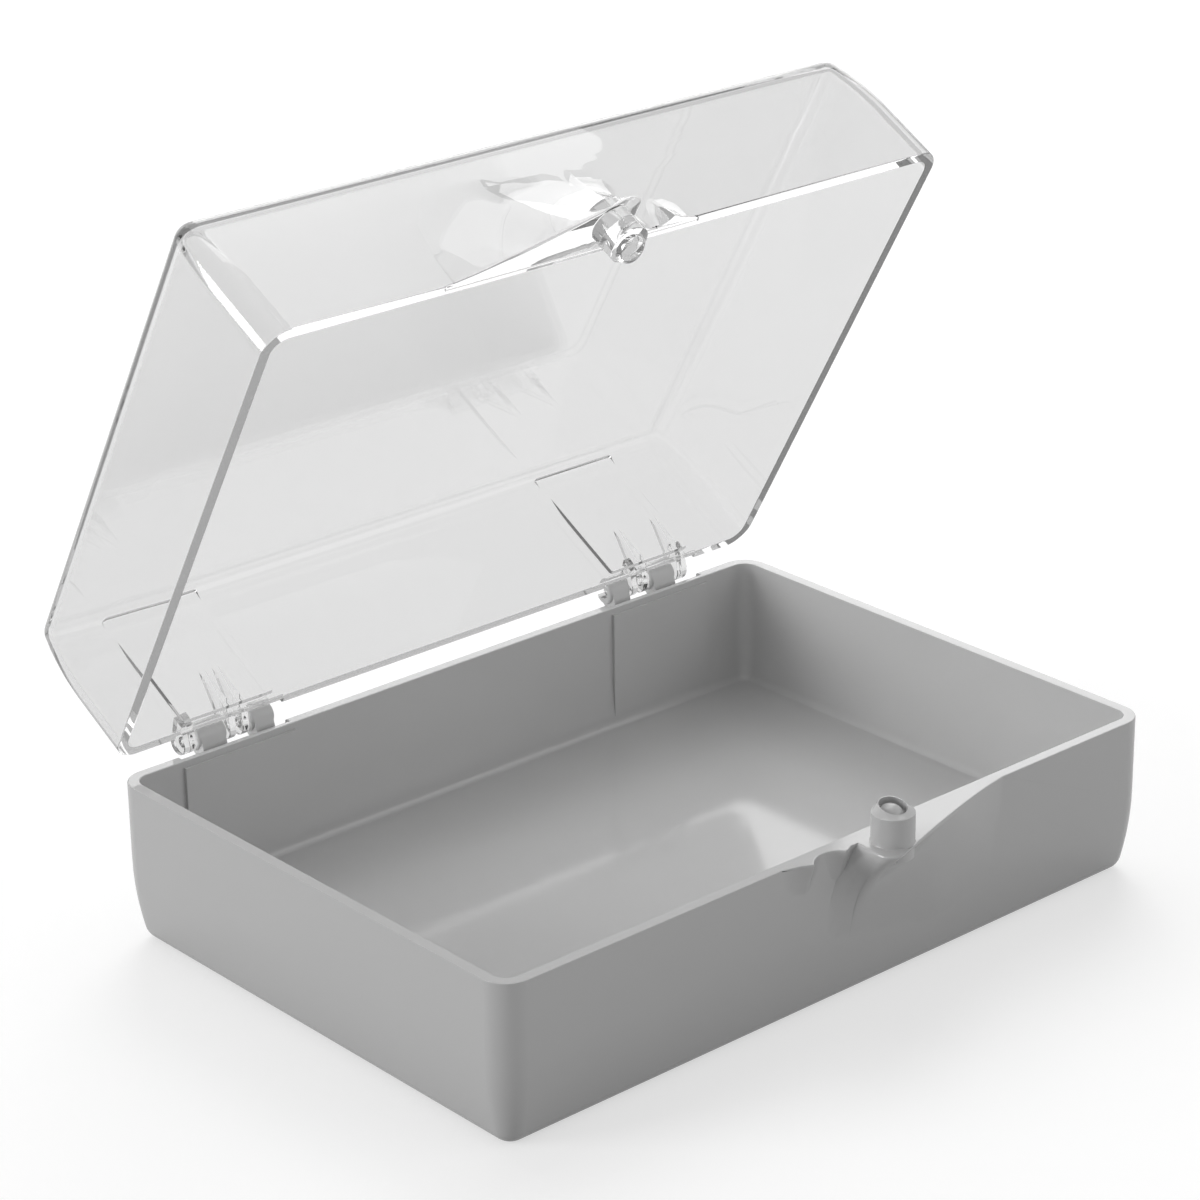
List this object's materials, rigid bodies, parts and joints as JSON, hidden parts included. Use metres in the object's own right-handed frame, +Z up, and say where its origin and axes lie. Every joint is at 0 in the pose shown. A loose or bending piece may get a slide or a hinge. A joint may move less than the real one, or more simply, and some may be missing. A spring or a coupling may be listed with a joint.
{
  "type": "hinged retainer case",
  "caption": "Small hinged plastic box for a dental retainer, with an opaque grey base, a clear lid standing open and a clasp at the front.",
  "frame": {"origin": "middle of the base's flat underside, on the surface that the case stands on", "axes": "+X along the hinge wall, +Y from the clasp wall towards the hinge wall, +Z up"},
  "size_m": [0.09, 0.0823, 0.081],
  "materials": {
    "base_plastic": "opaque light grey polystyrene, evenly glossy",
    "clear_plastic": "water-clear polystyrene with a polished surface"
  },
  "bodies": {
    "base": {"base": "base_plastic"},
    "lid": {"lid": "clear_plastic"}
  },
  "joints": [
    {"name": "lid_hinge", "type": "hinge", "parent": "base", "child": "lid", "pos_m": [0, 0.03265, 0.0188], "axis": [-1, 0, 0], "range_deg": [-60.5, 119.5]}
  ]
}
